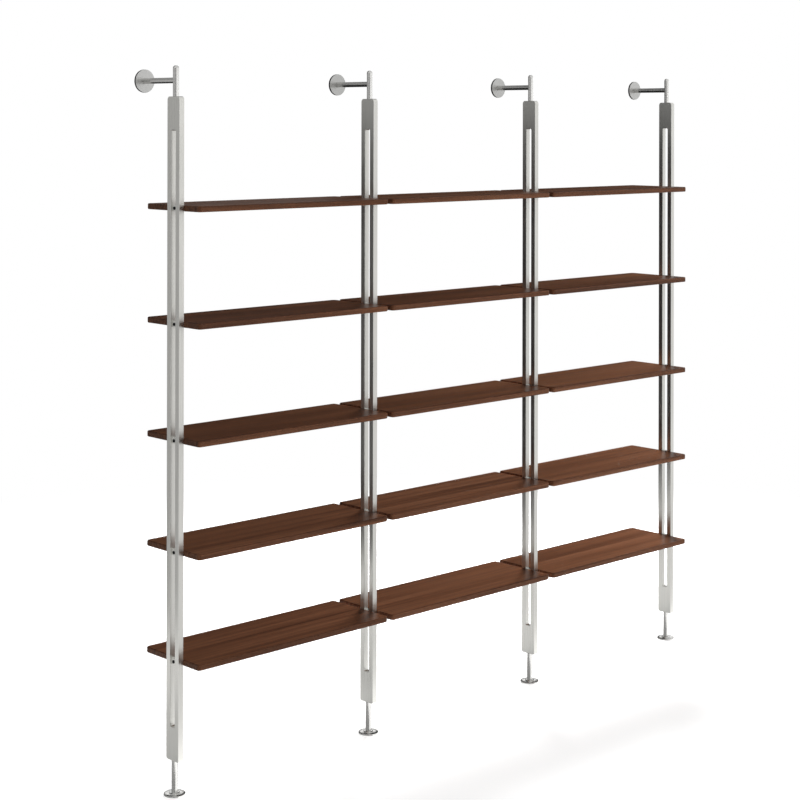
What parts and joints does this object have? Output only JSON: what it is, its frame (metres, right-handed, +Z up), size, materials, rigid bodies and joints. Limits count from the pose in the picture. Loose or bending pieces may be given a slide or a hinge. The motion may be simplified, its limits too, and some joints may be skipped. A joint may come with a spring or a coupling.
{
  "type": "floor-to-ceiling bookcase",
  "caption": "Open wall bookcase: slim slotted metal uprights in a row with wooden shelves between them, round levelling feet and short arms to wall discs.",
  "frame": {"origin": "on the floor, at the middle of the bookcase's overall length and depth", "axes": "+X along the row of shelves to the right as seen from the room, +Y towards the wall, +Z up"},
  "size_m": [2.673, 0.297, 2.4],
  "materials": {
    "upright_aluminium": "satin",
    "pin_aluminium": "satin",
    "rosette_metal": "polished",
    "foot_metal": "satin",
    "clamp_aluminium": "satin",
    "walnut": "satin lacquer"
  },
  "bodies": {
    "frame": {"upright_1": "upright_aluminium", "top_pin_1": "pin_aluminium", "wall_arm_1": "pin_aluminium", "wall_rosette_1": "rosette_metal", "upright_2": "upright_aluminium", "top_pin_2": "pin_aluminium", "wall_arm_2": "pin_aluminium", "wall_rosette_2": "rosette_metal", "upright_3": "upright_aluminium", "top_pin_3": "pin_aluminium", "wall_arm_3": "pin_aluminium", "wall_rosette_3": "rosette_metal", "upright_4": "upright_aluminium", "top_pin_4": "pin_aluminium", "wall_arm_4": "pin_aluminium", "wall_rosette_4": "rosette_metal"},
    "level_1": {"shelf_1_1": "walnut", "shelf_1_2": "walnut", "shelf_1_3": "walnut", "level_1_clamps": "clamp_aluminium"},
    "level_2": {"shelf_2_1": "walnut", "shelf_2_2": "walnut", "shelf_2_3": "walnut", "level_2_clamps": "clamp_aluminium"},
    "level_3": {"shelf_3_1": "walnut", "shelf_3_2": "walnut", "shelf_3_3": "walnut", "level_3_clamps": "clamp_aluminium"},
    "level_4": {"shelf_4_1": "walnut", "shelf_4_2": "walnut", "shelf_4_3": "walnut", "level_4_clamps": "clamp_aluminium"},
    "level_5": {"shelf_5_1": "walnut", "shelf_5_2": "walnut", "shelf_5_3": "walnut", "level_5_clamps": "clamp_aluminium"},
    "leveller_1": {"foot_1": "foot_metal"},
    "leveller_2": {"foot_2": "foot_metal"},
    "leveller_3": {"foot_3": "foot_metal"},
    "leveller_4": {"foot_4": "foot_metal"}
  },
  "joints": [
    {"name": "level_1_height", "type": "slide", "parent": "frame", "child": "level_1", "axis": [0, 0, 1], "range_m": [-0.19, 0.15]},
    {"name": "level_2_height", "type": "slide", "parent": "frame", "child": "level_2", "axis": [0, 0, 1], "range_m": [-0.15, 0.15]},
    {"name": "level_3_height", "type": "slide", "parent": "frame", "child": "level_3", "axis": [0, 0, 1], "range_m": [-0.15, 0.15]},
    {"name": "level_4_height", "type": "slide", "parent": "frame", "child": "level_4", "axis": [0, 0, 1], "range_m": [-0.15, 0.15]},
    {"name": "level_5_height", "type": "slide", "parent": "frame", "child": "level_5", "axis": [0, 0, 1], "range_m": [-0.15, 0.23]},
    {"name": "foot_1_levelling", "type": "slide", "parent": "frame", "child": "leveller_1", "axis": [0, 0, 1], "range_m": [-0.025, 0]},
    {"name": "foot_2_levelling", "type": "slide", "parent": "frame", "child": "leveller_2", "axis": [0, 0, 1], "range_m": [-0.025, 0]},
    {"name": "foot_3_levelling", "type": "slide", "parent": "frame", "child": "leveller_3", "axis": [0, 0, 1], "range_m": [-0.025, 0]},
    {"name": "foot_4_levelling", "type": "slide", "parent": "frame", "child": "leveller_4", "axis": [0, 0, 1], "range_m": [-0.025, 0]}
  ]
}
